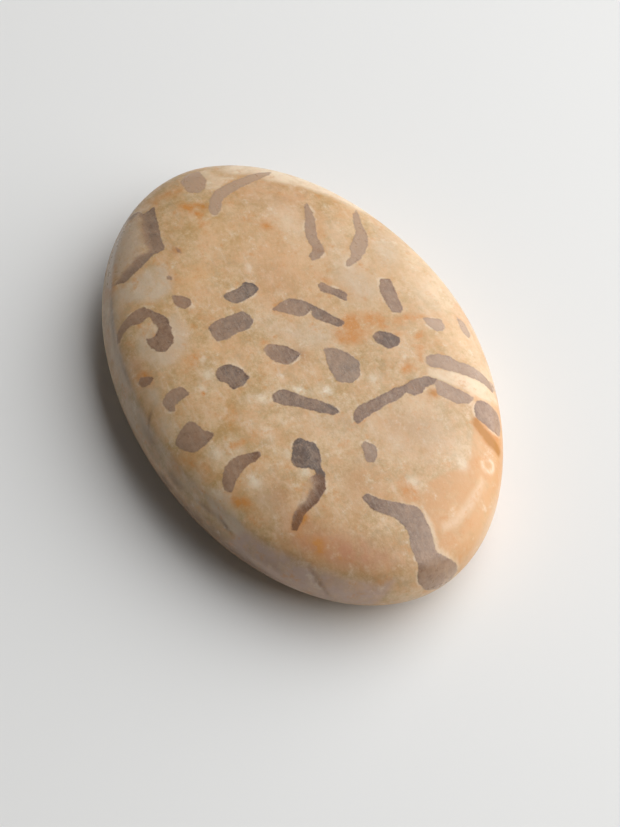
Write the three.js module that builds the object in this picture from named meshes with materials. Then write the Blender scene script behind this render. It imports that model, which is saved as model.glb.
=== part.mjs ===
// A palm stone of graphic feldspar: one oval pebble, sawn, ground and polished all over.
// Millimetres, +Z up. X runs along the stone's length and Y across it. The origin is the
// middle of the flat base that the stone rests on.

import * as THREE from 'three';
import { mergeVertices } from 'three/addons/utils/BufferGeometryUtils.js';

// Overall size of the stone
const LENGTH = 44;
const WIDTH = 28.2;
const HEIGHT = 8.6;

// Plan outline: an oval a little leaner than an ellipse at its four quarters, and a little
// fuller on one flank, as a stone shaped by hand on a wheel is
const OVAL_POWER = 1.95;
const FLANK_SWELL = 0.007;

// Section: the widest level, how far the flat base reaches out, and how square the crown is
const GIRDLE_HEIGHT = 4.2;
const BASE_SHARE = 0.72;
const CROWN_POWER_OUT = 4.2;
const CROWN_POWER_UP = 2.6;

// Steps of the faceted surface
const STEPS_ROUND = 96;
const STEPS_BELOW = 5;
const STEPS_ABOVE = 13;

// Distance from the stone's middle to its outline at one angle in plan
function outlineRadius(angle) {
  const along = Math.abs(Math.cos(angle)) / (LENGTH / 2);
  const across = Math.abs(Math.sin(angle)) / (WIDTH / 2);
  const oval = (along ** OVAL_POWER + across ** OVAL_POWER) ** (-1 / OVAL_POWER);
  return oval * (1 - FLANK_SWELL * Math.sin(3 * angle));
}

// Section from the middle of the base, round the girdle, to the middle of the crown.
// x is the share of the outline's radius and y is the height.
function sectionProfile() {
  const points = [new THREE.Vector2(0, 0)];
  for (let step = 0; step < STEPS_BELOW; step += 1) {
    const turn = (step / STEPS_BELOW) * (Math.PI / 2);
    const share = BASE_SHARE + (1 - BASE_SHARE) * Math.sin(turn);
    points.push(new THREE.Vector2(share, GIRDLE_HEIGHT * (1 - Math.cos(turn))));
  }
  for (let step = 0; step < STEPS_ABOVE; step += 1) {
    const turn = (step / STEPS_ABOVE) * (Math.PI / 2);
    const share = Math.cos(turn) ** (2 / CROWN_POWER_OUT);
    const rise = Math.sin(turn) ** (2 / CROWN_POWER_UP);
    points.push(new THREE.Vector2(share, GIRDLE_HEIGHT + (HEIGHT - GIRDLE_HEIGHT) * rise));
  }
  points.push(new THREE.Vector2(0, HEIGHT));
  return points;
}

// The section is turned once round Z, and each point then moves out to the oval outline
function stoneGeometry() {
  const geometry = new THREE.LatheGeometry(sectionProfile(), STEPS_ROUND);
  geometry.rotateX(Math.PI / 2);
  const position = geometry.getAttribute('position');
  for (let index = 0; index < position.count; index += 1) {
    const share = Math.hypot(position.getX(index), position.getY(index));
    const angle = Math.atan2(position.getY(index), position.getX(index));
    const reach = share * outlineRadius(angle);
    position.setX(index, reach * Math.cos(angle));
    position.setY(index, reach * Math.sin(angle));
  }

  geometry.computeBoundingBox();
  const middle = geometry.boundingBox.getCenter(new THREE.Vector3());
  geometry.translate(-middle.x, -middle.y, 0);

  geometry.deleteAttribute('normal');
  geometry.deleteAttribute('uv');
  return mergeVertices(geometry, 1e-4);
}

// Peach feldspar with grey quartz in it, polished to a soft gloss
const polishedFeldspar = new THREE.MeshStandardMaterial({
  color: 0xcfa681,
  roughness: 0.34,
  metalness: 0,
});

const stone = new THREE.Mesh(stoneGeometry(), polishedFeldspar);
stone.name = 'feldspar_stone';

const group = new THREE.Group();
group.add(stone);

export default group;
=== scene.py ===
import math

import bpy
import numpy as np
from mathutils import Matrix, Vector


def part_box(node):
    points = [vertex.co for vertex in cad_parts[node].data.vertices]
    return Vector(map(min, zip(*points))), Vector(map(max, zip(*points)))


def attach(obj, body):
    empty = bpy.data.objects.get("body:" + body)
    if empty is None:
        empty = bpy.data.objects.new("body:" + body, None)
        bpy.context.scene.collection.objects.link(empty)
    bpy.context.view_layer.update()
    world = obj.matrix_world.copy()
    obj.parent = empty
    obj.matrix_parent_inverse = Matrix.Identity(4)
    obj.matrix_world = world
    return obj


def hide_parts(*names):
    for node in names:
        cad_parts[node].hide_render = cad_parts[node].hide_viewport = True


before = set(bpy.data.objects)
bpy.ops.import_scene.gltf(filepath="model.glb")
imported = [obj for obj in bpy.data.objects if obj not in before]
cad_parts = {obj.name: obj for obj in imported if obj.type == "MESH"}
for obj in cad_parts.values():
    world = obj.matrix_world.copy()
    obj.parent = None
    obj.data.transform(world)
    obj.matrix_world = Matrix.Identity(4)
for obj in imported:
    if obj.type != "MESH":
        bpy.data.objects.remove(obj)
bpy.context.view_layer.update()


# ---------------------------------------------------------------------------------------------
# The stone: its ground and polished form.
# One pebble of graphic feldspar, sawn flat below, ground to an oval on a wheel, and polished.
# The section runs from the crown's middle over a rounded shoulder and under to the flat base.
# ---------------------------------------------------------------------------------------------

MM = 0.001  # in metres; this file works in millimetres until a mesh is made

stone_low, stone_high = (np.array(corner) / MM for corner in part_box("feldspar_stone"))
stone_length, stone_width, stone_height = stone_high - stone_low

OVAL_POWER = 1.95  # 2 is an ellipse, less is a little more pointed
FLANK_SWELL = 0.007  # share by which three gentle swells round the outline push it in or out
GIRDLE_HEIGHT = 4.2  # mm, where the stone is widest
BASE_SHARE = 0.72  # the flat base's share of the outline
CROWN_POWER_OUT = 4.2
CROWN_POWER_UP = 2.6

POLISH_SKIN = 0.015  # mm kept back from the CAD box on every side


def outline_radius(angle):
    """Distance in mm from the stone's middle to its outline, at an angle in plan."""
    along = np.abs(np.cos(angle)) / (stone_length / 2)
    across = np.abs(np.sin(angle)) / (stone_width / 2)
    oval = (along ** OVAL_POWER + across ** OVAL_POWER) ** (-1 / OVAL_POWER)
    return oval * (1 - FLANK_SWELL * np.sin(3 * angle))


QUARTER_STEPS = 700  # points along each rounded quarter of the section
BASE_STEPS = 200  # points along the flat base


def section_curve():
    """The section as (share of the outline's radius, height), from the crown's middle round to
    the base's middle."""
    quarter = np.linspace(0, math.pi / 2, QUARTER_STEPS)
    crown_rise = stone_height - GIRDLE_HEIGHT
    crown = np.stack([np.sin(quarter) ** (2 / CROWN_POWER_OUT),
                      GIRDLE_HEIGHT + crown_rise * np.cos(quarter) ** (2 / CROWN_POWER_UP)], -1)
    crown[0] = (0, stone_height)
    under = np.stack([BASE_SHARE + (1 - BASE_SHARE) * np.cos(quarter),
                      GIRDLE_HEIGHT * (1 - np.sin(quarter))], -1)
    base = np.stack([np.linspace(BASE_SHARE, 0, BASE_STEPS), np.zeros(BASE_STEPS)], -1)
    return np.concatenate([crown, under[1:], base[1:]])


# A cube of small square cells, blown up to a ball, gives an even net with no pinched poles
CELLS = 122
ticks = np.tan((np.arange(CELLS + 1) / CELLS * 2 - 1) * math.pi / 4)
corner_of = {}
corner_ticks = []
cells = []
for axis in range(3):
    for side in (0, CELLS):
        first, second = ((axis + 1) % 3, (axis + 2) % 3)
        spots = np.empty((CELLS + 1, CELLS + 1), int)
        for i in range(CELLS + 1):
            for j in range(CELLS + 1):
                key = [0, 0, 0]
                key[axis], key[first], key[second] = side, i, j
                key = tuple(key)
                if key not in corner_of:
                    corner_of[key] = len(corner_ticks)
                    corner_ticks.append(key)
                spots[i, j] = corner_of[key]
        ring = [spots[:-1, :-1], spots[1:, :-1], spots[1:, 1:], spots[:-1, 1:]]
        if side == 0:
            ring.reverse()
        cells.append(np.stack([part.ravel() for part in ring], -1))
cells = np.concatenate(cells)
ball = ticks[np.array(corner_ticks)]
ball /= np.linalg.norm(ball, axis=1, keepdims=True)

# Each point of the ball goes to the same angle in plan and the same share of the section
turn = np.arctan2(ball[:, 1], ball[:, 0])
way_down = np.arccos(np.clip(ball[:, 2], -1, 1)) / math.pi
section = section_curve()
typical_radius = (stone_length + stone_width) / 4
steps = np.hypot(np.diff(section[:, 0]) * typical_radius, np.diff(section[:, 1]))
section_way = np.concatenate([[0], np.cumsum(steps)])
section_way /= section_way[-1]
share = np.interp(way_down, section_way, section[:, 0])
height = np.interp(way_down, section_way, section[:, 1])
radius = outline_radius(turn)
form = np.stack([share * radius * np.cos(turn), share * radius * np.sin(turn), height], -1)

# The wheel also left soft ground bands along the edge, where the stone was held against it.
# Each takes off what stands above a plane that faces out from the outline and leans with it.
GROUND_BANDS = [
    # middle heading and half spread in degrees, tip from level in degrees, depth in mm
    (-98, 66, 66, 0.20), (-156, 34, 60, 0.05), (-40, 34, 60, 0.11), (16, 34, 27, 0.05),
    (70, 30, 33, 0.04), (128, 46, 62, 0.06),
]
FULL_DEPTH_SHARE = 0.4  # share of a band's half spread that is cut to its full depth
BAND_WAVER = 0.2  # share by which the hand's pressure wavered
BAND_WAVES = 7  # how often it did, round the stone
CREASE = 0.03  # mm over which the polish rounds a band's edge
SHALLOWEST = 0.02  # mm, a cut below which a band dies away


def outline_facing(angle):
    """The heading in which the outline faces, at an angle in plan."""
    step = 0.001
    change = outline_radius(angle + step) - outline_radius(angle - step)
    return angle - np.arctan(change / (2 * step * outline_radius(angle)))


def smooth_rise(value, low, high):
    value = np.clip((value - low) / (high - low), 0, 1)
    return value * value * (3 - 2 * value)


facing = outline_facing(turn)
for heading, spread, tip, depth in GROUND_BANDS:
    off = np.abs(np.mod(facing - math.radians(heading) + math.pi, 2 * math.pi) - math.pi)
    waver = 1 + BAND_WAVER * np.sin(BAND_WAVES * facing + heading)
    cut = depth * waver * (1 - smooth_rise(np.degrees(off), FULL_DEPTH_SHARE * spread, spread))
    tipped = math.radians(tip)
    lean = np.stack([np.cos(facing) * math.sin(tipped), np.sin(facing) * math.sin(tipped),
                     np.full(len(form), math.cos(tipped))], -1)
    sideways = radius * (np.cos(turn) * lean[:, 0] + np.sin(turn) * lean[:, 1])
    furthest = np.full(len(form), -np.inf)
    for out, up in section[::6]:  # every sixth point is fine enough
        furthest = np.maximum(furthest, sideways * out + up * lean[:, 2])
    over = (form * lean).sum(1) - (furthest - cut)
    taken = CREASE * np.logaddexp(0, over / CREASE) * smooth_rise(cut, 0, SHALLOWEST)
    form -= lean * taken[:, None]

# Two flat maps of the skin, in mm of skin: crown_map is laid out from the crown's middle and
# runs down over the shoulder and the side, and base_map is laid out from the base's middle
RADII_MEASURED = 25  # sections measured, from the narrowest to the widest
radii = np.linspace(radius.min(), radius.max(), RADII_MEASURED)
lengths = np.stack([np.concatenate([[0], np.cumsum(np.hypot(np.diff(section[:, 0]) * reach,
                                                            np.diff(section[:, 1])))])
                    for reach in radii])
crown_way = np.zeros(len(form))
whole_way = np.zeros(len(form))
for lower in range(len(radii) - 1):
    here = (radius >= radii[lower]) & (radius <= radii[lower + 1])
    blend = (radius[here] - radii[lower]) / (radii[lower + 1] - radii[lower])
    narrower = np.interp(way_down[here], section_way, lengths[lower])
    wider = np.interp(way_down[here], section_way, lengths[lower + 1])
    crown_way[here] = narrower + (wider - narrower) * blend
    whole_way[here] = lengths[lower, -1] + (lengths[lower + 1, -1] - lengths[lower, -1]) * blend
outward = np.stack([np.cos(turn), np.sin(turn)], -1)
crown_map = outward * crown_way[:, None]
base_map = outward * (whole_way - crown_way)[:, None]


# ---------------------------------------------------------------------------------------------
# The quartz in the stone.
# Rods of smoky quartz grew through the feldspar, and the wheel cut them flush. Each is a closed
# outline on the skin's flat map in mm, with how smoky and how brown it is. A rod that dips under
# the feldspar is thin and pale at one end, and a wide thin one is dark only along one rim.
# ---------------------------------------------------------------------------------------------

QUARTZ_ON_CROWN = [
    # smoke, brown, fade, dark rim in mm (0 where all is dark), outline; a fade above 0 pales
    # the end away from DIP, and one below 0 pales the end toward it
    (0.84, 0.00, 0.25, 0.0, [(-6.7, -1.6), (-6.3, -1.0), (-5.6, -0.8), (-5.2, -1.4), (-5.0, -2.3),
                             (-5.1, -3.1), (-5.6, -3.6), (-6.2, -3.7), (-6.4, -3.0), (-6.3, -2.2)]),
    (0.71, 0.40, 0.30, 0.0, [(-4.2, -2.9), (-3.5, -2.6), (-2.9, -2.6), (-2.4, -3.2), (-2.4, -4.3),
                             (-2.2, -5.2), (-2.4, -6.0), (-3.2, -6.1), (-4.0, -6.0), (-4.3, -5.2),
                             (-4.2, -4.0)]),
    (0.82, 0.60, 0.40, 0.0, [(-0.1, -3.2), (-0.4, -2.5), (0.4, -1.4), (1.6, -0.6), (2.0, -1.4),
                             (2.1, -2.2), (1.2, -3.0)]),
    (0.80, 0.50, 0.20, 0.0, [(7.4, -0.5), (7.8, -0.5), (7.8, -1.1), (7.2, -1.9), (6.2, -2.9),
                             (5.4, -4.0), (4.7, -4.6), (4.0, -4.4), (3.9, -3.6), (4.3, -3.0),
                             (5.3, -2.3), (6.3, -1.3)]),
    (0.88, 0.35, 0.20, 0.0, [(1.0, -5.3), (1.9, -5.2), (2.2, -5.8), (2.3, -6.8), (1.6, -7.0),
                             (1.0, -7.5), (0.3, -7.4), (-0.1, -7.0), (-0.2, -6.3), (0.3, -5.7)]),
    (0.62, 0.80, 0.30, 0.0, [(-8.3, -7.2), (-8.0, -6.7), (-7.3, -6.0), (-6.6, -6.2), (-6.5, -6.9),
                             (-7.2, -7.3)]),
    (0.50, 0.90, 0.20, 0.0, [(-10.3, -6.6), (-10.0, -6.3), (-9.7, -6.5), (-10.0, -6.8)]),
    (0.52, 1.00, 0.30, 0.0, [(-12.8, -4.8), (-12.2, -4.6), (-11.7, -4.7), (-12.2, -4.9)]),
    (0.72, 0.70, 0.50, 0.0, [(-7.6, -12.8), (-8.4, -12.3), (-8.8, -11.2), (-8.9, -10.2),
                             (-8.6, -9.4), (-7.5, -8.8), (-6.6, -8.4), (-5.5, -8.5), (-4.1, -8.9),
                             (-3.7, -9.8), (-4.1, -10.4), (-5.0, -10.7), (-5.8, -10.6),
                             (-5.5, -10.0), (-6.0, -9.4), (-6.7, -9.5), (-7.5, -9.5), (-7.4, -10.3),
                             (-7.8, -11.1), (-7.7, -11.8), (-7.3, -12.5)]),
    (0.75, 1.30, 0.50, 0.0, [(-2.9, -12.9), (-3.1, -12.4), (-2.3, -11.6), (-2.0, -12.1),
                             (-2.1, -12.7)]),
    (0.50, 0.50, 0.30, 0.0, [(0.2, -9.9), (0.8, -9.9), (0.9, -10.6), (1.0, -11.2), (1.4, -11.5),
                             (1.2, -11.9), (0.6, -12.0), (0.0, -12.0), (-0.3, -11.6), (-0.4, -10.8),
                             (-0.2, -10.2)]),
    (0.56, 0.65, 0.20, 0.0, [(3.8, -12.8), (3.2, -12.1), (2.8, -11.0), (3.3, -10.6), (4.2, -10.3),
                             (5.0, -9.7), (5.4, -10.5), (5.5, -11.7), (4.7, -12.4)]),
    (0.80, 0.80, 0.45, 0.0, [(9.5, -11.1), (8.7, -11.0), (7.9, -10.4), (7.6, -9.3), (7.8, -8.2),
                             (8.1, -7.4), (8.6, -7.6), (8.8, -8.9), (9.2, -9.8), (9.9, -10.7)]),
    (0.99, 0.25, 0.15, 0.0, [(8.4, -4.4), (9.0, -3.9), (9.5, -3.4), (10.2, -3.4), (11.0, -3.7),
                             (11.6, -4.0), (12.0, -3.9), (12.5, -4.1), (12.4, -4.7), (11.6, -4.5),
                             (11.1, -4.9), (10.9, -5.5), (10.2, -5.8), (9.5, -5.4), (8.8, -5.0)]),
    (1.10, 1.00, 0.15, 0.9, [(11.9, -3.9), (12.5, -4.1), (13.3, -4.4), (14.1, -5.5), (14.3, -6.7),
                             (15.2, -7.7), (15.0, -8.1), (14.2, -7.8), (13.1, -6.4), (12.3, -5.8),
                             (11.9, -5.2)]),
    (0.76, 0.75, 0.10, 0.0, [(8.2, 0.6), (8.8, 0.1), (9.5, 0.2), (9.2, 1.1), (9.0, 2.1), (8.8, 3.1),
                             (8.7, 4.3), (8.4, 5.0), (8.9, 5.4), (8.9, 6.1), (8.5, 6.6), (8.5, 7.4),
                             (8.2, 7.9), (7.6, 7.2), (7.5, 5.9), (7.8, 5.1), (7.6, 4.3), (7.8, 3.3),
                             (7.9, 2.3), (7.9, 1.4)]),
    (0.56, 0.90, 0.30, 0.0, [(8.0, 7.6), (8.7, 8.3), (9.7, 9.3), (10.4, 10.0), (10.9, 9.3),
                             (10.7, 8.3), (9.9, 7.5), (9.4, 7.2), (8.9, 7.3)]),
    (0.80, 1.00, -0.50, 0.0, [(10.9, 9.8), (10.7, 10.4), (11.1, 11.2), (12.1, 11.9), (13.1, 11.8),
                              (14.0, 10.9), (13.6, 10.3), (12.9, 9.8), (12.3, 9.2), (11.6, 9.3)]),
    (0.48, 0.80, 0.20, 0.0, [(6.4, 7.7), (5.9, 8.1), (5.9, 9.0), (6.3, 9.7), (7.1, 10.4),
                             (7.9, 11.7), (8.8, 12.3), (9.7, 12.9), (10.2, 12.3), (9.3, 11.7),
                             (8.8, 10.9), (8.1, 9.8), (7.4, 8.7), (6.9, 7.9)]),
    (0.06, 0.20, 0.20, 0.0, [(9.0, 12.4), (9.8, 12.3), (10.0, 13.0), (9.2, 13.2)]),
    (0.27, 0.60, 0.20, 0.0, [(2.3, 9.6), (2.8, 11.0), (3.8, 11.0), (4.0, 10.1), (3.2, 9.6)]),
    (0.22, 0.50, 0.20, 0.0, [(2.5, 12.7), (3.3, 13.3), (4.6, 13.1), (4.9, 12.7), (4.4, 12.4),
                             (3.7, 12.4)]),
    (1.20, 0.55, 0.32, 0.0, [(2.5, 5.0), (2.2, 5.7), (2.8, 6.5), (3.6, 7.0), (4.2, 6.5), (4.2, 5.6),
                             (3.3, 5.1)]),
    (0.62, 0.95, 0.10, 0.0, [(-2.4, 8.3), (-1.3, 7.7), (0.0, 7.6), (1.0, 7.6), (1.4, 8.1),
                             (1.0, 8.6), (0.0, 8.7), (-0.9, 8.9), (-2.1, 9.1)]),
    (0.78, 0.70, 0.35, 0.0, [(-4.0, 3.9), (-3.3, 4.3), (-2.6, 4.9), (-2.0, 5.2), (-1.4, 4.8),
                             (-1.9, 4.4), (-2.6, 4.0), (-3.2, 3.4), (-3.8, 3.5)]),
    (0.85, 0.50, 0.45, 0.0, [(0.4, 3.8), (0.7, 3.2), (0.2, 2.7), (-0.5, 2.1), (-1.1, 1.7),
                             (-1.9, 2.0), (-1.5, 1.2), (-1.7, 0.7), (-2.2, 0.2), (-2.8, -0.4),
                             (-3.2, -0.9), (-3.5, -0.2), (-3.7, 0.6), (-3.5, 1.3), (-2.8, 1.9),
                             (-2.0, 2.4), (-1.2, 2.9), (-0.4, 3.3)]),
    (0.60, 0.20, 0.30, 0.0, [(1.9, 1.1), (2.4, 2.1), (3.3, 2.7), (4.3, 3.1), (5.6, 2.4), (5.9, 1.6),
                             (5.2, 0.6), (4.0, 0.6), (2.9, 0.8)]),
    (0.56, 0.60, 0.30, 0.0, [(11.0, 0.1), (11.8, 0.6), (12.6, 0.3), (13.0, -0.2), (12.7, -0.7),
                             (11.9, -0.5), (11.2, -0.4)]),
    (0.82, 0.65, -0.55, 0.0, [(15.2, -2.4), (15.0, -1.8), (15.8, -1.3), (16.3, -0.6), (17.0, 0.4),
                              (17.6, 1.2), (18.4, 1.3), (19.3, 1.3), (20.2, 1.2), (21.1, 1.0),
                              (21.7, 1.6), (22.6, 2.5), (23.6, 2.7), (24.6, 2.0), (24.9, 0.9),
                              (24.0, -0.6), (22.9, -1.1), (22.1, -1.0), (21.6, -0.7), (20.7, -0.7),
                              (20.0, -0.7), (19.2, -0.4), (18.5, -0.5), (17.8, -0.8), (17.2, -1.4),
                              (16.4, -2.1)]),
    (0.60, 0.30, 0.10, 1.2, [(-18.9, -5.4), (-18.0, -5.3), (-18.2, -4.2), (-16.1, -4.8),
                             (-14.1, -5.4), (-12.9, -5.6), (-13.0, -6.6), (-12.5, -7.9),
                             (-12.0, -9.6), (-13.1, -10.9), (-14.5, -11.3), (-16.5, -10.4),
                             (-18.4, -8.6), (-19.4, -6.9)]),
    (0.08, 0.40, 0.35, 0.0, [(-19.9, -1.2), (-20.6, -0.2), (-20.4, 0.8), (-18.7, 0.7), (-17.6, 0.2),
                             (-17.2, -0.6), (-18.0, -1.3)]),
    (0.10, 0.00, 0.10, 0.0, [(-14.6, -0.9), (-16.1, -0.2), (-16.9, 0.8), (-17.3, 2.8), (-17.6, 4.4),
                             (-17.6, 6.3), (-17.0, 5.6), (-16.6, 4.4), (-16.2, 3.0), (-15.9, 1.6),
                             (-15.5, 0.7), (-14.6, 0.2), (-14.0, -0.5)]),
    (0.35, 0.60, 0.20, 0.0, [(-12.5, 6.8), (-11.3, 6.7), (-10.3, 6.5), (-9.1, 6.0), (-8.1, 5.7),
                             (-7.1, 5.7), (-6.5, 5.5), (-6.2, 4.8), (-6.2, 4.2), (-6.8, 4.2),
                             (-7.3, 4.8), (-8.1, 4.8), (-9.1, 5.0), (-10.1, 5.5), (-11.3, 6.1),
                             (-12.1, 6.5)]),
    (0.22, 0.30, 0.10, 0.0, [(-10.8, 10.6), (-9.8, 10.3), (-8.6, 9.9), (-7.2, 9.7), (-6.2, 9.2),
                             (-5.4, 8.6), (-4.9, 7.9), (-4.6, 7.1), (-4.4, 6.4), (-5.0, 6.6),
                             (-5.5, 7.3), (-6.4, 7.6), (-7.0, 8.2), (-7.8, 8.9), (-9.0, 9.3),
                             (-10.0, 9.8)]),
]
QUARTZ_ON_SIDE = [
    # the same, for the rods that come out lower down the side
    (0.62, 0.50, 0.30, 0.0, [(9.6, 13.3), (10.6, 13.1), (12.0, 15.5), (13.0, 18.0), (12.2, 18.6),
                             (11.0, 16.6)]),
    (0.74, 0.60, 0.20, 0.0, [(14.2, 12.2), (15.0, 11.6), (17.0, 13.6), (18.6, 16.2), (17.6, 16.6),
                             (15.8, 14.8)]),
    (0.56, 0.50, 0.20, 0.0, [(-1.0, 17.4), (0.4, 17.2), (1.0, 18.6), (0.0, 19.8), (-1.2, 19.0)]),
    (0.66, 0.40, 0.20, 0.7, [(-7.8, 15.0), (-5.6, 15.4), (-4.8, 17.0), (-5.8, 18.6), (-7.9, 17.9),
                             (-8.6, 16.4)]),
    (0.60, 0.60, 0.20, 0.0, [(-13.2, 16.4), (-12.2, 15.6), (-12.6, 17.4), (-13.8, 18.6),
                             (-14.6, 17.6)]),
    (0.76, 0.30, 0.30, 0.0, [(-18.8, 10.4), (-17.8, 10.8), (-18.8, 12.6), (-20.8, 14.6),
                             (-21.4, 13.6), (-19.8, 12.2)]),
    (0.66, 0.50, 0.30, 0.0, [(-23.2, 5.2), (-22.4, 6.2), (-24.0, 8.0), (-26.2, 8.2), (-26.0, 6.8),
                             (-24.2, 6.6)]),
    (0.84, 0.20, 0.20, 0.0, [(-25.2, -2.0), (-24.4, -0.8), (-25.6, 0.6), (-27.8, 0.6),
                             (-27.6, -1.0)]),
    (0.58, 0.60, 0.30, 0.0, [(-23.6, -9.0), (-23.0, -7.8), (-24.4, -6.4), (-26.4, -6.8),
                             (-26.0, -8.4)]),
    (0.72, 0.40, 0.30, 0.0, [(24.8, 6.4), (25.6, 6.8), (26.8, 8.8), (26.0, 9.8), (24.8, 8.4)]),
    (0.64, 0.60, 0.20, 0.0, [(20.8, 12.4), (22.0, 11.8), (23.4, 13.2), (22.8, 14.6), (21.4, 13.8)]),
]
DIP = np.array([0.50, 0.87])  # the way the rods lean as they go down, on the flat map
CORNER_CUT = 0.12  # share of an edge that is cut off at each of its corners


def rounded(outline):
    """The outline with its corners cut off a little, as grains have."""
    outline = np.array(outline, float)
    after = np.roll(outline, -1, axis=0)
    kept = 1 - CORNER_CUT
    return np.stack([outline * kept + after * CORNER_CUT, outline * CORNER_CUT + after * kept],
                    1).reshape(-1, 2)


def distance_inside(points, outline):
    """Distance in mm from each point to a closed outline, positive inside it."""
    nearest = np.full(len(points), np.inf)
    inside = np.zeros(len(points), bool)
    for start, end in zip(outline, np.roll(outline, -1, axis=0)):
        edge = end - start
        away = points - start
        along = np.clip(away @ edge / max(edge @ edge, 1e-9), 0, 1)
        nearest = np.minimum(nearest, ((away - along[:, None] * edge) ** 2).sum(1))
        if start[1] != end[1]:
            crossing = start[0] + (points[:, 1] - start[1]) * edge[0] / edge[1]
            inside ^= ((start[1] > points[:, 1]) != (end[1] > points[:, 1])) & (
                points[:, 0] < crossing)
    return np.where(inside, 1, -1) * np.sqrt(nearest)


FAR = 1.6  # mm, beyond which a point no longer cares how far the quartz is
RIM_CLEARS = 0.95  # how much thinner a rimmed rod is inside its dark rim
RIM_SOFT = 0.6  # mm over which it thins, to either side of the rim's inner edge
quartz_edge = np.full(len(form), -FAR)
quartz_thick = np.zeros(len(form))
quartz_smoke = np.zeros(len(form))
quartz_brown = np.zeros(len(form))


def lay_quartz(flat_map, skin, smoke, brown, fade, rim, outline):
    """Cuts one rod through the skin: skin says which points of the map it may touch."""
    outline = rounded(outline)
    low, high = outline.min(0) - FAR, outline.max(0) + FAR
    near = np.flatnonzero(skin & (flat_map > low).all(1) & (flat_map < high).all(1))
    if not len(near):
        return
    edge = distance_inside(flat_map[near], outline)
    reach = outline @ DIP
    along = np.clip((flat_map[near] @ DIP - reach.min()) / np.ptp(reach), 0, 1)
    if fade < 0:
        along = 1 - along
    thick = 1 - abs(fade) * (1 - along)
    if rim:
        past_rim = distance_inside(flat_map[near] + DIP * rim, outline)
        thick *= 1 - RIM_CLEARS * smooth_rise(past_rim, -RIM_SOFT, RIM_SOFT)
    nearer = edge > quartz_edge[near]
    spots = near[nearer]
    quartz_edge[spots] = edge[nearer]
    quartz_thick[spots] = thick[nearer]
    quartz_smoke[spots] = smoke
    quartz_brown[spots] = brown


# The pattern is laid out from a point a little off the crown's middle, and by less near the edge
PATTERN_MIDDLE = np.array([-0.58, 0.28])
EDGE_SETTLES = 0.75  # share of that shift which is gone at the outline
pattern = crown_map - PATTERN_MIDDLE * (1 - EDGE_SETTLES * np.minimum(share, 1)[:, None] ** 3)
UPPER_SKIN_ENDS = 0.86  # share of the way round the section at which the pattern stops
upper_skin = way_down < UPPER_SKIN_ENDS
for smoke, brown, fade, rim, outline in QUARTZ_ON_CROWN + QUARTZ_ON_SIDE:
    lay_quartz(pattern, upper_skin, smoke, brown, fade, rim, outline)

# Rods near the middle go right through, leaning and twisting, and show again on the sawn base
THROUGH_SHIFT = np.array([-2.4, -1.4])  # mm
THROUGH_TWIST = math.radians(14)
THROUGH_SHRINK = 0.94
ON_BASE = 0.96  # a rod shows only if it lies within this share of the flat base
twist = np.array([[math.cos(THROUGH_TWIST), math.sin(THROUGH_TWIST)],
                  [-math.sin(THROUGH_TWIST), math.cos(THROUGH_TWIST)]])
base_reach = ON_BASE * BASE_SHARE * np.array([stone_length, stone_width]) / 2
lower_half = way_down > 0.5
for smoke, brown, fade, rim, outline in QUARTZ_ON_CROWN:
    below = np.array(outline) @ twist * THROUGH_SHRINK + THROUGH_SHIFT
    if np.linalg.norm(below / base_reach, axis=1).max() < 1:
        lay_quartz(base_map, lower_half, smoke, brown, fade, rim, below)


# ---------------------------------------------------------------------------------------------
# The stains and pale clouds in the feldspar, and painted sheen and shade low on the side.
# Iron has crept in along the grain joins and left orange patches, the potassium-rich parts are
# pinker, and cloudy albite is milky. Low on the -y side, a grey and mauve-grey painted sheen and
# painted shade under the curve are laid in with them. They are soft patches, zones with an
# outline, and streaks.
# ---------------------------------------------------------------------------------------------

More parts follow.
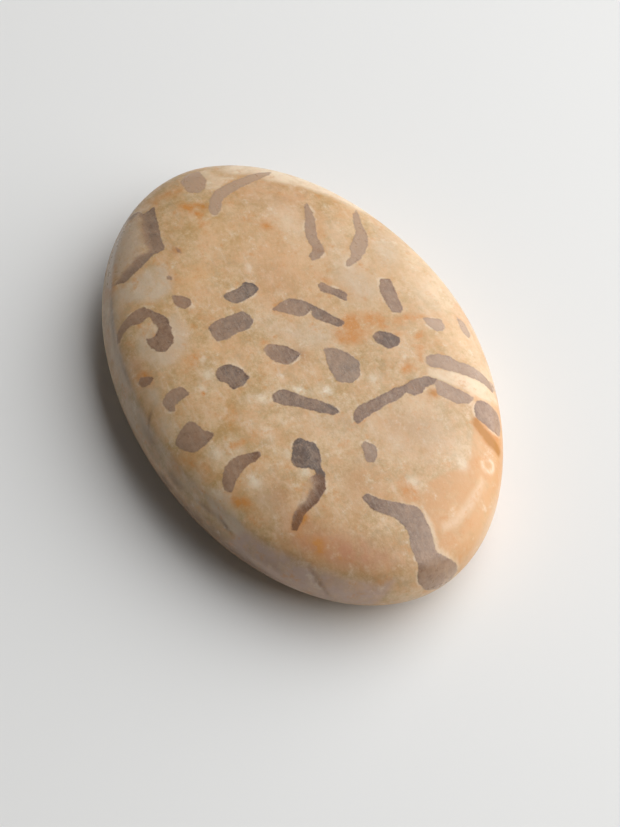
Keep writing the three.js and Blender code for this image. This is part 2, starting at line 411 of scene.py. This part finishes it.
PATCHES = {
    # middle, half length and half width in mm, turn in degrees, strength
    "salmon": [  # warm orange-pink feldspar
        (11.6, 3.6, 2.4, 1.8, 40, 0.6), (14.1, -2.1, 1.8, 1.4, 0, 0.6),
        (1.7, -0.7, 0.8, 0.6, 0, 0.5), (1.8, 0.0, 0.5, 0.4, 0, 0.5),
    ],
    "peach": [  # pale warm feldspar
        (-7.5, 2.5, 5.0, 3.0, 15, 0.55), (-2.5, 8.0, 3.4, 3.2, 0, 0.35),
        (-12.5, -1.5, 2.5, 2.0, 0, 0.35), (0.5, 4.5, 2.2, 2.0, 0, 0.2),
        (-9.0, -4.6, 1.6, 1.2, 0, 0.7), (-8.6, -6.0, 0.9, 0.7, 0, 0.5),
        (-1.9, -6.7, 1.0, 0.5, 60, 0.6), (4.5, 11.5, 1.6, 2.4, 0, 0.4),
    ],
    "umber_and_shade": [  # brown stain and thin dark veins
        (1.6, -14.6, 2.0, 0.5, 0, 0.6), (16.4, -10.9, 1.6, 0.5, 30, 0.4),
        (1.7, -0.7, 0.5, 0.4, 0, 0.25), (0.4, -13.5, 0.7, 0.16, -55, 1.0),
        (11.8, -12.6, 1.0, 0.16, 4, 1.0), (9.6, -13.3, 1.2, 0.2, 20, 0.8),
        (19.6, -8.0, 1.9, 0.16, 4, 1.0), (-10.0, -12.2, 2.6, 0.3, -24, 0.7),
        (-4.9, -13.4, 2.0, 0.25, -8, 0.6), (6.0, -14.6, 1.6, 0.45, 10, 0.7),
        (2.6, -15.4, 1.2, 0.35, 0, 0.5), (-12.4, -5.0, 0.5, 0.3, 20, 0.6),
        (11.6, 3.6, 2.4, 1.8, 40, 0.16), (14.1, -2.1, 2.0, 1.6, 0, 0.16),
        (1.7, -0.9, 0.9, 0.6, 0, 0.2),
    ],
    "iron": [  # orange iron stain
        (14.2, -7.0, 0.6, 0.5, 0, 1.2), (14.8, -7.7, 0.5, 0.4, 0, 1.0),
        (4.4, -11.0, 0.5, 0.4, 0, 0.5), (-2.8, -12.4, 0.5, 0.5, 0, 1.6),
        (-12.2, -4.8, 0.6, 0.3, 20, 0.8), (-7.4, -6.8, 0.4, 0.4, 0, 0.8),
        (-0.4, -2.6, 0.5, 0.5, 0, 0.6), (-3.3, -0.4, 0.6, 0.5, 0, 0.6),
        (8.2, 5.6, 0.5, 0.6, 0, 0.8), (2.0, 7.4, 0.35, 0.7, 0, 0.9), (2.1, 8.9, 0.4, 0.6, 0, 0.7),
        (3.9, 8.4, 0.3, 0.45, 20, 1.2), (4.9, 9.0, 0.5, 0.6, 0, 0.5),
        (5.5, 7.8, 0.9, 0.3, -30, 0.7), (6.3, 6.3, 0.6, 0.6, 40, 0.9),
        (9.2, 6.9, 0.4, 0.4, 0, 1.3), (12.9, 9.3, 0.7, 0.5, 10, 1.4),
        (14.0, 9.7, 0.6, 0.6, 30, 1.6), (15.9, 7.1, 0.5, 0.4, -50, 0.9),
        (16.2, 0.9, 0.9, 0.6, 20, 0.9), (16.8, 1.5, 0.6, 0.4, 0, 0.8),
        (-11.1, 2.5, 0.5, 0.4, 80, 1.3), (-15.6, -0.9, 0.5, 0.4, 0, 1.2),
        (-16.3, -2.0, 0.9, 0.5, 60, 1.2), (-15.0, -1.7, 0.6, 0.3, 30, 1.0),
        (-18.7, -2.4, 1.1, 0.6, 60, 0.8), (-19.0, -3.8, 1.0, 0.5, 60, 0.6),
        (-12.6, -11.2, 1.3, 0.4, 0, 0.6), (5.7, -12.4, 0.8, 0.4, 10, 1.1),
        (10.9, -10.5, 1.1, 0.5, 30, 1.2), (7.2, -11.7, 0.9, 0.5, -10, 0.6),
        (5.2, -13.6, 0.9, 0.4, 0, 0.7), (17.0, -7.0, 0.8, 0.7, 40, 1.1),
        (8.9, -7.8, 1.3, 0.3, 90, 0.7), (-2.0, -8.6, 1.2, 0.8, 40, 0.45),
        (-7.1, 5.2, 0.5, 0.4, 0, 1.1), (-4.0, 4.2, 0.9, 0.4, 20, 0.6),
        (-5.5, -6.1, 1.4, 0.4, 30, 0.5), (6.8, -8.4, 0.9, 0.3, 75, 0.6),
        (2.3, -9.2, 1.0, 0.5, 0, 0.4), (1.6, -4.2, 0.6, 0.3, 0, 0.5),
        (13.4, 3.6, 0.5, 0.3, 60, 0.4), (-9.3, -5.9, 0.7, 0.3, 60, 0.6),
        (4.2, -8.0, 1.3, 0.8, 0, 0.5), (1.4, -9.0, 0.2, 0.15, 0, 1.4),
    ],
    "blush": [  # pink feldspar
        (18.6, -5.0, 3.8, 1.3, 54, 0.95), (15.2, -7.4, 2.0, 1.4, 30, 0.5),
        (12.0, -8.0, 1.6, 1.4, 20, 0.4), (-14.0, 5.0, 4.0, 3.0, 20, 0.35),
        (-6.0, 1.0, 4.0, 2.6, 0, 0.25), (2.0, 15.0, 5.0, 1.6, -10, 0.4),
        (10.6, 9.0, 1.4, 1.4, 0, 0.2), (-4.0, -12.4, 1.8, 0.8, 0, 0.4),
    ],
    "cream": [  # pale cream feldspar
        (-11.0, 4.4, 2.6, 1.2, 10, 0.6), (20.6, 7.4, 4.0, 1.1, -50, 0.5),
        (9.0, 12.6, 3.6, 1.4, -30, 0.5), (-2.0, 13.0, 5.5, 1.8, 5, 0.5),
        (0.5, 11.0, 2.6, 1.6, 0, 0.35), (12.5, 3.6, 2.6, 2.0, 40, 0.15),
        (4.5, -13.6, 3.0, 0.5, 0, 0.3), (-6.8, 6.9, 3.0, 0.9, -12, 0.35),
    ],
    "ash_and_sheen": [  # grey cloudy feldspar; the patches low on the -y side are a painted sheen
        (-6.4, -13.6, 3.2, 0.8, -8, 0.7), (-10.0, -11.6, 2.0, 1.2, -30, 0.5),
        (-18.6, 4.0, 1.6, 0.8, 50, 0.8), (-5.5, 10.6, 2.2, 1.1, -25, 0.8),
        (-0.8, -12.4, 1.2, 0.7, 0, 0.8), (1.9, -12.6, 0.9, 0.6, 0, 0.6),
        (0.5, 0.9, 2.2, 1.3, 65, 0.55), (-3.5, 6.4, 2.4, 1.6, 0, 0.55),
        (-1.6, 6.8, 1.2, 1.4, 0, 0.3), (8.5, -0.8, 3.0, 1.6, 50, 0.25),
        (12.2, 5.5, 3.0, 2.2, 40, 0.3), (-2.0, -1.6, 1.6, 1.0, 40, 0.3),
        (12.0, -8.8, 1.1, 0.8, 0, 0.45), (7.1, -12.6, 1.0, 0.7, 0, 0.5),
    ],
    "rust": [  # the deepest iron stain
        (9.2, 6.9, 0.35, 0.35, 0, 0.7), (-7.1, 5.3, 0.4, 0.35, 0, 0.6),
        (-15.6, -1.0, 0.5, 0.3, 30, 0.5), (14.4, -7.2, 0.6, 0.4, 40, 0.6),
    ],
    "milk": [  # white flecks of albite
        (6.9, -9.0, 0.9, 0.7, 0, 0.7), (-15.6, 8.6, 2.6, 0.9, 52, 0.6),
        (-17.0, 6.6, 1.4, 0.6, 60, 0.4), (4.7, -2.3, 0.7, 0.35, 40, 0.9),
        (5.6, -0.5, 0.6, 0.45, 30, 1.0), (6.2, 3.3, 0.5, 0.4, 0, 0.7),
        (3.9, -5.4, 0.8, 0.5, 60, 0.9), (-7.7, -0.6, 0.7, 0.3, 0, 0.6),
        (-1.9, 1.7, 0.4, 0.35, 40, 0.8), (6.4, -10.4, 0.7, 0.5, 30, 0.8),
        (10.2, -8.9, 0.7, 0.6, 30, 0.8), (7.0, -6.2, 0.7, 0.4, 0, 0.6),
        (11.4, -5.2, 0.5, 0.4, 0, 0.9), (15.6, 1.7, 0.5, 0.5, 0, 0.7),
        (12.0, 2.1, 0.6, 0.5, 0, 0.6), (-6.6, -6.2, 0.3, 0.3, 0, 1.2),
        (0.0, -8.0, 0.8, 0.5, 0, 0.7), (1.0, -8.9, 0.6, 0.3, 0, 0.7),
        (-8.0, -10.0, 0.8, 0.4, 80, 0.5), (-18.9, -4.9, 0.6, 0.5, 0, 1.0),
        (15.5, 6.0, 0.6, 0.45, 0, 0.8), (-1.6, -7.6, 0.4, 0.4, 0, 0.7),
        (5.2, -7.4, 1.0, 0.4, 30, 0.4), (9.4, -5.8, 0.6, 0.4, 0, 0.4),
    ],
}

ZONES = {
    # strength, softness of its edge in mm, outline; the kinds are as above, with one more, a
    # mauve-grey painted sheen low on the side
    "salmon": [
        (1.00, 0.14, [(9.0, 12.9), (9.6, 10.6), (10.3, 10.0), (12.4, 9.0), (13.8, 7.9), (15.2, 7.1),
                      (15.9, 6.2), (15.8, 4.5), (16.1, 2.8), (16.9, 2.0), (17.8, 1.5), (19.6, 1.5),
                      (21.0, 1.2), (22.8, 2.6), (25.5, 3.4), (25.5, 8.0), (20.0, 12.5),
                      (14.0, 14.5)]),
    ],
    "cream": [
        (0.8, 0.20, [(6.9, 7.6), (7.7, 9.1), (8.6, 10.6), (9.3, 11.7), (10.3, 12.5), (11.4, 12.9),
                     (10.8, 11.0), (10.3, 10.1), (9.5, 9.4), (8.6, 8.4), (7.9, 7.6), (7.4, 7.3)]),
        (1.00, 0.5, [(-19.6, 2.4), (-18.2, 3.0), (-17.6, 5.0), (-16.2, 5.2), (-14.8, 7.2),
                     (-12.6, 9.4), (-10.4, 11.0), (-9.4, 12.6), (-12.0, 13.4), (-15.0, 11.8),
                     (-18.2, 8.8), (-20.4, 4.4)]),
        (0.8, 0.25, [(-20.4, 0.9), (-18.6, 0.7), (-17.4, 0.1), (-16.8, 0.7), (-17.2, 1.6),
                     (-17.6, 3.0), (-18.4, 1.8), (-20.2, 1.4)]),
        (0.50, 0.30, [(19.4, 2.3), (19.1, 3.7), (18.4, 5.0), (17.6, 6.2), (16.9, 7.2), (17.3, 7.3),
                     (18.3, 6.3), (19.2, 5.0), (19.9, 3.5), (20.0, 2.2)]),
        (0.55, 0.10, [(17.6, 1.3), (18.5, 1.6), (19.6, 1.6), (20.9, 1.4), (22.2, 2.5), (23.4, 3.0),
                      (23.4, 2.6), (22.4, 2.1), (21.2, 0.9), (19.6, 1.1), (18.4, 1.2)]),
    ],
    "ash_and_sheen": [
        (0.90, 0.5, [(-18.2, -5.8), (-16.0, -6.4), (-14.4, -6.9), (-13.6, -8.2), (-13.2, -9.6),
                     (-14.5, -10.4), (-16.5, -9.8), (-18.2, -8.0)]),
        (0.80, 0.5, [(-12.0, -9.9), (-11.9, -7.6), (-11.5, -6.2), (-9.8, -6.4), (-8.6, -7.2),
                     (-8.5, -8.4), (-9.3, -9.4), (-9.9, -10.4), (-11.0, -11.4), (-12.2, -11.0)]),
        (0.65, 0.5, [(-6.4, -7.6), (-4.4, -7.5), (-2.8, -8.4), (-2.3, -10.0), (-3.2, -11.2),
                     (-5.4, -11.8), (-7.0, -10.6)]),
        # these last two are a painted grey-white sheen low on the -y side, not grey feldspar
        (0.75, 0.25, [(8.3, -12.3), (9.7, -10.8), (11.2, -11.1), (12.9, -11.2), (13.4, -12.2),
                      (11.9, -12.4), (10.9, -13.0), (9.3, -12.8)]),
        (0.55, 0.5, [(-4.2, -14.8), (-1.6, -16.2), (1.2, -15.6), (1.6, -14.0), (-1.4, -13.9)]),
    ],
    "side_sheen": [
        # painted sheen: the mauve-grey reflection low on the -y side
        (0.75, 0.5, [(13.0, -11.4), (15.3, -10.2), (17.8, -8.3), (20.0, -6.4), (21.8, -3.8),
                     (21.8, -2.8), (24.0, -5.0), (22.5, -9.0), (18.0, -13.0), (13.0, -14.5)]),
    ],
    "umber_and_shade": [
        # painted shade: both darken the side low down under its curve, the first with real brown
        # streaks in it too
        (0.85, 0.7, [(4.5, -15.4), (7.0, -15.2), (9.0, -14.4), (11.5, -13.5), (14.0, -12.9),
                     (16.5, -12.0), (18.5, -11.4), (18.0, -14.0), (12.0, -17.5), (6.0, -19.0),
                     (3.0, -17.0)]),
        (0.45, 1.0, [(-5.0, -15.8), (0.0, -16.0), (4.0, -15.6), (6.0, -15.6), (7.0, -16.4),
                     (6.0, -19.0), (0.0, -20.0), (-6.0, -19.0)]),
    ],
    "iron": [
        (0.85, 0.5, [(1.2, 2.2), (0.2, 3.0), (-0.2, 4.6), (0.6, 6.3), (1.8, 7.2), (2.3, 6.6),
                     (2.0, 5.2), (3.0, 4.2), (2.4, 2.8)]),
        (0.90, 0.4, [(12.0, 9.0), (12.8, 9.8), (13.6, 10.2), (14.3, 11.0), (15.2, 10.2),
                     (14.4, 8.9), (13.2, 8.7)]),
        (0.80, 0.3, [(5.9, 5.6), (5.7, 6.7), (6.6, 6.9), (7.2, 6.2), (6.6, 5.5)]),
        (0.70, 0.3, [(1.5, 7.2), (1.6, 8.9), (2.4, 9.2), (2.5, 7.3)]),
    ],
    "rust": [
        (1.40, 0.25, [(12.0, 9.2), (13.0, 9.5), (13.9, 9.9), (15.2, 10.5), (15.5, 9.9), (14.5, 9.2),
                      (13.5, 8.8), (12.5, 8.6)]),
    ],
}


def soft_patch(points, middle_u, middle_v, long, wide, turned, strength):
    """A soft oval patch: full strength in its middle, fading out at its rim."""
    turned = math.radians(turned)
    away = points - (middle_u, middle_v)
    along = away[:, 0] * math.cos(turned) + away[:, 1] * math.sin(turned)
    across = away[:, 1] * math.cos(turned) - away[:, 0] * math.sin(turned)
    return strength * np.exp(-(along / long) ** 2 - (across / wide) ** 2)


stains_sheen_and_shade = {kind: sum(soft_patch(pattern, *patch) for patch in found)
          for kind, found in PATCHES.items()}
for kind, found in ZONES.items():
    for strength, softness, outline in found:
        inside = distance_inside(pattern, np.array(outline, float))
        zone = strength * smooth_rise(inside, -softness, softness) * upper_skin
        stains_sheen_and_shade[kind] = np.maximum(stains_sheen_and_shade.get(kind, 0), zone)

# A healed chip shows as a small white ring
RING_AT = (16.1, 8.3)
RING_RADIUS = 0.55
RING_WIDTH = 0.16
RING_STRENGTH = 0.7
from_ring = np.linalg.norm(pattern - RING_AT, axis=1) - RING_RADIUS
stains_sheen_and_shade["milk"] += RING_STRENGTH * np.exp(-(from_ring / RING_WIDTH) ** 2)


# ---------------------------------------------------------------------------------------------
# The stone as one solid piece.
# It rests on its sawn base, and the polish leaves it a hair inside its nominal size. The values
# of the quartz, the stains and the painted sheen and shade low on the side go with its skin.
# ---------------------------------------------------------------------------------------------

# Where a grain was plucked out before the polish there is a shallow pit
PITS = [
    # middle on the pattern, radius and depth in mm
    (16.1, 8.3, 0.5, 0.04), (15.5, 6.0, 0.4, 0.025), (-18.9, -4.9, 0.6, 0.06),
    (-5.6, -10.3, 0.4, 0.03), (10.4, -12.6, 0.7, 0.05), (13.6, -12.3, 0.8, 0.045),
    (20.3, -9.0, 0.6, 0.05), (-21.5, 3.2, 0.6, 0.04), (1.4, -9.0, 0.35, 0.03),
    (-9.0, 13.6, 0.7, 0.05), (6.6, 16.4, 0.6, 0.05), (23.4, 8.4, 0.7, 0.04),
]
toward_middle = np.array([0, 0, stone_height / 2]) - form
toward_middle /= np.linalg.norm(toward_middle, axis=1, keepdims=True)
for middle_u, middle_v, pit_radius, pit_depth in PITS:
    away = np.linalg.norm(pattern - (middle_u, middle_v), axis=1)
    pit = pit_depth * np.exp(-(away / pit_radius) ** 2) * upper_skin
    form += toward_middle * pit[:, None]

form[:, :2] -= ((form.max(0) + form.min(0)) / 2)[:2]
polished_size = stone_high - stone_low - 2 * POLISH_SKIN
form = (form - form.min(0)) * polished_size / np.ptp(form, axis=0) + stone_low + POLISH_SKIN

mesh = bpy.data.meshes.new("polished_stone")
mesh.from_pydata((form * MM).tolist(), [], cells.tolist())
mesh.shade_smooth()
stone = bpy.data.objects.new("polished_stone", mesh)
bpy.context.scene.collection.objects.link(stone)

skin_values = {"quartz_edge": quartz_edge, "quartz_thick": quartz_thick,
               "quartz_smoke": quartz_smoke, "quartz_brown": quartz_brown, **stains_sheen_and_shade}
for name, values in skin_values.items():
    mesh.attributes.new(name, "FLOAT", "POINT").data.foreach_set("value", values)

# The skin laid flat on a square sheet: the crown and side in one island, the base in another
SHEET_SCALE = 0.90 / 62  # 62 mm of skin lie along nine tenths of the sheet
CROWN_ISLAND = (0.5, 0.34)
BASE_ISLAND = (0.5, 0.84)
unwrapped = mesh.uv_layers.new(name="OFBake")
base_starts = section_way[section[:, 1] < 1e-6].min()  # where the section first reaches 0
is_base = way_down[cells].mean(1) > base_starts
corners = cells.ravel()
corner_is_base = np.repeat(is_base, 4)
laid = np.where(corner_is_base[:, None],
                base_map[corners] * (SHEET_SCALE, -SHEET_SCALE) + BASE_ISLAND,
                crown_map[corners] * SHEET_SCALE + CROWN_ISLAND)
unwrapped.uv.foreach_set("vector", laid.astype(np.float32).ravel())


# ---------------------------------------------------------------------------------------------
# The stone's finish.
# Tan feldspar with albite threads, milky clouds and iron stains, and smoky quartz in it, all
# ground to one surface and polished to a soft gloss. One material covers the stone.
# ---------------------------------------------------------------------------------------------

material = bpy.data.materials.new("graphic_feldspar")
material.use_nodes = True
tree = material.node_tree
shader = tree.nodes["Principled BSDF"]


def feed(socket, value):
    """Sets a socket to a number or a colour, or links another node's output to it."""
    if isinstance(value, bpy.types.NodeSocket):
        tree.links.new(value, socket)
    else:
        socket.default_value = value


def put(kind, settings=None, **inputs):
    """A node of the stone's material. Inputs are named with _ for a space, and each is a number,
    a colour or another node's output."""
    made = tree.nodes.new("ShaderNode" + kind)
    for name, value in (settings or {}).items():
        setattr(made, name, value)
    for name, value in inputs.items():
        feed(made.inputs[name.replace("_", " ")], value)
    return made


def skin_value(name):
    return put("Attribute", {"attribute_name": name}).outputs["Fac"]


def worked_out(operation, one, other):
    made = put("Math", {"operation": operation})
    feed(made.inputs[0], one)
    feed(made.inputs[1], other)
    return made.outputs[0]


def sum_of(one, other):
    return worked_out("ADD", one, other)


def product_of(one, other):
    return worked_out("MULTIPLY", one, other)


def held(value):
    """The value kept between 0 and 1."""
    return put("Clamp", Value=value).outputs[0]


def step_up(value, low, high, bottom=0.0, top=1.0):
    """Rises smoothly from bottom to top as the value goes from low to high."""
    return put("MapRange", {"interpolation_type": "SMOOTHSTEP"}, Value=value, From_Min=low,
               From_Max=high, To_Min=bottom, To_Max=top).outputs["Result"]


def tint(amount, under, over):
    """One colour laid over another, as strongly as amount says."""
    made = put("Mix", {"data_type": "RGBA"}, Factor=amount)
    for socket, colour in ((made.inputs[6], under), (made.inputs[7], over)):
        feed(socket, (*colour, 1) if isinstance(colour, tuple) else colour)
    return made.outputs[2]


millimetres = put("VectorMath", {"operation": "SCALE"},
                  Vector=put("TexCoord").outputs["Object"], Scale=1 / MM).outputs[0]


def grain(size, detail=3.0, rough=0.55, stretch=(1, 1, 1), at=(0, 0, 0)):
    """Cloudy noise, around a half, whose blotches are about so many mm across. Each layer is
    taken from its own place in the noise, so that no two layers match."""
    place = put("Mapping", Vector=millimetres, Location=at, Scale=stretch).outputs[0]
    return put("TexNoise", Vector=place, Scale=1 / size, Detail=detail,
               Roughness=rough).outputs["Fac"]


def swing(noise, reach):
    """Noise turned into a swing to either side of 0, by up to half the reach."""
    return product_of(sum_of(noise, -0.5), reach)


# Where the quartz is, with its edges broken up by the grains that it grew against
edge_break = sum_of(swing(grain(1.1, 1), 0.20), swing(grain(0.30, 2, at=(7, 3, 1)), 0.24))
broken_edge = sum_of(skin_value("quartz_edge"), edge_break)
is_quartz = step_up(broken_edge, -0.07, 0.08)

# Feldspar: tan, mottled at every size from grains to broad clouds, with pale albite threads
DEEP_TAN = (0.445, 0.275, 0.105)
LIGHT_TAN = (0.680, 0.480, 0.290)
ROSE = (0.640, 0.370, 0.185)
OLIVE_GREY = (0.430, 0.310, 0.170)
THREAD_PALE = (0.72, 0.56, 0.40)
STAIN_SHEEN_AND_SHADE_COLOURS = [
    # laid one over another in this order
    # the grey shade is also a painted sheen low on the side, the mauve-grey one is painted sheen
    # only, and the dark brown is also painted shade low on the side
    ("peach", (0.73, 0.45, 0.230)), ("blush", (0.53, 0.255, 0.140)),
    ("salmon", (0.60, 0.320, 0.135)), ("ash_and_sheen", (0.61, 0.485, 0.355)),
    ("side_sheen", (0.50, 0.350, 0.300)), ("cream", (0.78, 0.610, 0.430)),
    ("umber_and_shade", (0.26, 0.150, 0.080)),
]
MILKY = (0.79, 0.67, 0.51)
mottle = step_up(grain(2.6, 5, 0.88), 0.33, 0.67)
feldspar = tint(mottle, DEEP_TAN, LIGHT_TAN)
rosy = step_up(grain(2.2, 4, 0.85, at=(3, 8, 2)), 0.40, 0.64, 0, 0.60)
feldspar = tint(rosy, feldspar, ROSE)
ashen = step_up(grain(1.7, 4, 0.8, at=(9, 1, 5)), 0.50, 0.70, 0, 0.50)
feldspar = tint(ashen, feldspar, OLIVE_GREY)
threads = grain(0.5, 3, 0.6, stretch=(0.25, 1.0, 0.6), at=(1, 4, 2))
feldspar = tint(step_up(threads, 0.52, 0.74, 0, 0.40), feldspar, THREAD_PALE)
uneven = step_up(grain(1.0, 3, 0.7, at=(6, 6, 3)), 0.30, 0.62, 0.55, 1.0)
# the stains, and the painted sheen and painted shade low on the side, laid over the feldspar
for kind, shade in STAIN_SHEEN_AND_SHADE_COLOURS:
    feldspar = tint(product_of(skin_value(kind), uneven), feldspar, shade)
cloudy = step_up(grain(1.3, 4, 0.75, at=(2, 2, 9)), 0.54, 0.76, 0, 0.50)
milk_breaks = step_up(grain(0.8, 4, 0.7, at=(5, 5, 5)), 0.32, 0.62, 0.3, 0.9)
milk = product_of(skin_value("milk"), milk_breaks)
feldspar = tint(held(sum_of(cloudy, milk)), feldspar, MILKY)

# Iron: in its patches, in thin traces everywhere, and here and there beside the quartz
IRON_ORANGE = (0.58, 0.255, 0.070)
DEEP_RUST = (0.41, 0.160, 0.010)
iron_clouds = grain(1.2, 5, 0.75, at=(4, 0, 7))
iron = product_of(skin_value("iron"), step_up(iron_clouds, 0.30, 0.60))
traces = step_up(iron_clouds, 0.53, 0.74, 0, 0.65)
beside_quartz = product_of(step_up(broken_edge, -1.0, -0.05),
                           step_up(grain(3.0, 4, 0.7, at=(8, 8, 1)), 0.54, 0.70, 0, 0.40))
iron = sum_of(iron, sum_of(traces, beside_quartz))
feldspar = tint(held(iron), feldspar, IRON_ORANGE)
feldspar = tint(held(product_of(skin_value("rust"), uneven)), feldspar, DEEP_RUST)

# Some of the quartz has a thin milky rim
MILKY_RIM = (0.76, 0.62, 0.46)
rim_white = product_of(step_up(broken_edge, -0.30, -0.05, 0, 0.55),
                       step_up(grain(1.5, 2, at=(1, 8, 6)), 0.54, 0.70))
feldspar = tint(rim_white, feldspar, MILKY_RIM)

# Quartz: smoky where it is thick, and letting the feldspar through where it is thin
SMOKY = (0.118, 0.089, 0.073)
SMOKY_BROWN = (0.172, 0.084, 0.044)
THIN_QUARTZ = (0.51, 0.340, 0.225)
PALE_STRIAE = (0.42, 0.33, 0.26)
RUSTY_QUARTZ = (0.33, 0.150, 0.060)
thick = held(sum_of(skin_value("quartz_thick"), swing(grain(0.9, 3, 0.7), 0.8)))
veils = grain(0.6, 4, 0.8, at=(6, 2, 2))
smoke = product_of(skin_value("quartz_smoke"), step_up(veils, 0.33, 0.66, 1.18, 0.80))
smoke = product_of(smoke, thick)
wall = product_of(step_up(broken_edge, 0.0, 0.25, 1, 0), step_up(thick, 0.5, 1.0, 0, 0.13))
smoke = held(sum_of(smoke, wall))
brown = sum_of(skin_value("quartz_brown"), swing(grain(1.3, 3), 1.1))
brown = sum_of(brown, step_up(thick, 0.4, 0.9, 0.45, 0))
quartz = tint(smoke, THIN_QUARTZ, tint(held(brown), SMOKY, SMOKY_BROWN))
striae = grain(0.16, 2, 0.5, stretch=(0.12, 1.0, 0.5), at=(2, 6, 3))
quartz = tint(step_up(striae, 0.48, 0.68, 0, 0.20), quartz, PALE_STRIAE)
rusty = product_of(skin_value("iron"), step_up(iron_clouds, 0.35, 0.60, 0, 0.45))
quartz = tint(held(rusty), quartz, RUSTY_QUARTZ)

covering = product_of(is_quartz, step_up(thick, 0.05, 0.55, 0.25, 1.0))
feed(shader.inputs["Base Color"], tint(covering, feldspar, quartz))

# Polish: satin on the feldspar, closer on the quartz, and duller in the mottling
polish = step_up(grain(0.5, 4), 0.3, 0.7, 0.33, 0.43)
polish = sum_of(polish, product_of(is_quartz, -0.07))
feed(shader.inputs["Roughness"], polish)

# The quartz, being harder, stands a hair proud, and the rest has a faint orange-peel
RELIEF_DEPTH = 0.05 * MM
relief = sum_of(product_of(is_quartz, 0.35), product_of(grain(0.30, 4, 0.6), 0.9))
relief = sum_of(relief, product_of(grain(2.4, 2, at=(3, 3, 3)), 1.6))
bump = put("Bump", Height=relief, Strength=0.4, Distance=RELIEF_DEPTH)
feed(shader.inputs["Normal"], bump.outputs["Normal"])

# Light goes a little way into both
shader.inputs["IOR"].default_value = 1.53
shader.inputs["Subsurface Weight"].default_value = 0.15
shader.inputs["Subsurface Radius"].default_value = (1.0, 0.55, 0.3)
shader.inputs["Subsurface Scale"].default_value = 0.6 * MM
mesh.materials.append(material)

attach(stone, "root")
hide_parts("feldspar_stone")


# ---------------------------------------------------------------------------------------------
# The floor, light and camera.
# A pale floor, one wide soft window high on the right, and a long lens looking down.
# ---------------------------------------------------------------------------------------------

FLOOR_HALF = 1.0  # metres, from the stone to the floor's edge
floor_corners = [(FLOOR_HALF * x, FLOOR_HALF * y, 0)
                 for x, y in ((-1, -1), (1, -1), (1, 1), (-1, 1))]
floor_mesh = bpy.data.meshes.new("floor")
floor_mesh.from_pydata(floor_corners, [], [(0, 1, 2, 3)])
floor = bpy.data.objects.new("floor", floor_mesh)
bpy.context.scene.collection.objects.link(floor)
floor_paint = bpy.data.materials.new("pale_floor")
floor_paint.use_nodes = True
floor_shader = floor_paint.node_tree.nodes["Principled BSDF"]
floor_shader.inputs["Base Color"].default_value = (0.8, 0.8, 0.79, 1)
floor_shader.inputs["Roughness"].default_value = 0.8
floor_mesh.materials.append(floor_paint)

ROOM_LIGHT = 0.07
room = bpy.data.worlds.new("room")
bpy.context.scene.world = room
room.use_nodes = True
room.node_tree.nodes["Background"].inputs["Color"].default_value = (1, 1, 1, 1)
room.node_tree.nodes["Background"].inputs["Strength"].default_value = ROOM_LIGHT

WINDOW_TURN = math.radians(78)
WINDOW_RISE = math.radians(39)
WINDOW_AWAY = 0.32  # metres, as are the sizes below
WINDOW_SIZE = 0.60
WINDOW_WATTS = 3.00
window = bpy.data.lights.new("window", "AREA")
window.shape = "SQUARE"
window.size = WINDOW_SIZE
window.energy = WINDOW_WATTS
window_holder = bpy.data.objects.new("window", window)
bpy.context.scene.collection.objects.link(window_holder)
to_window = Vector((math.cos(WINDOW_TURN) * math.cos(WINDOW_RISE),
                    math.sin(WINDOW_TURN) * math.cos(WINDOW_RISE),
                    math.sin(WINDOW_RISE)))
window_holder.location = to_window * WINDOW_AWAY
window_holder.rotation_euler = to_window.to_track_quat("Z", "Y").to_euler()

CAMERA_TURN = math.radians(63.42)
CAMERA_RISE = math.radians(55.30)
CAMERA_AWAY = 0.2233
CAMERA_AIM = Vector((0.00107, 0.00025, 0.0))
FILM_WIDTH = 36.0  # mm, as is the focal length
FOCAL_LENGTH = 121.36
lens = bpy.data.cameras.new("camera")
lens.sensor_width = FILM_WIDTH
lens.lens = FOCAL_LENGTH
lens.clip_start = 0.01
camera = bpy.data.objects.new("camera", lens)
bpy.context.scene.collection.objects.link(camera)
to_camera = Vector((math.sin(CAMERA_TURN) * math.cos(CAMERA_RISE),
                    -math.cos(CAMERA_TURN) * math.cos(CAMERA_RISE),
                    math.sin(CAMERA_RISE)))
camera.location = CAMERA_AIM + to_camera * CAMERA_AWAY
camera.rotation_euler = to_camera.to_track_quat("Z", "Y").to_euler()
bpy.context.scene.camera = camera
bpy.context.scene.view_settings.view_transform = "Standard"
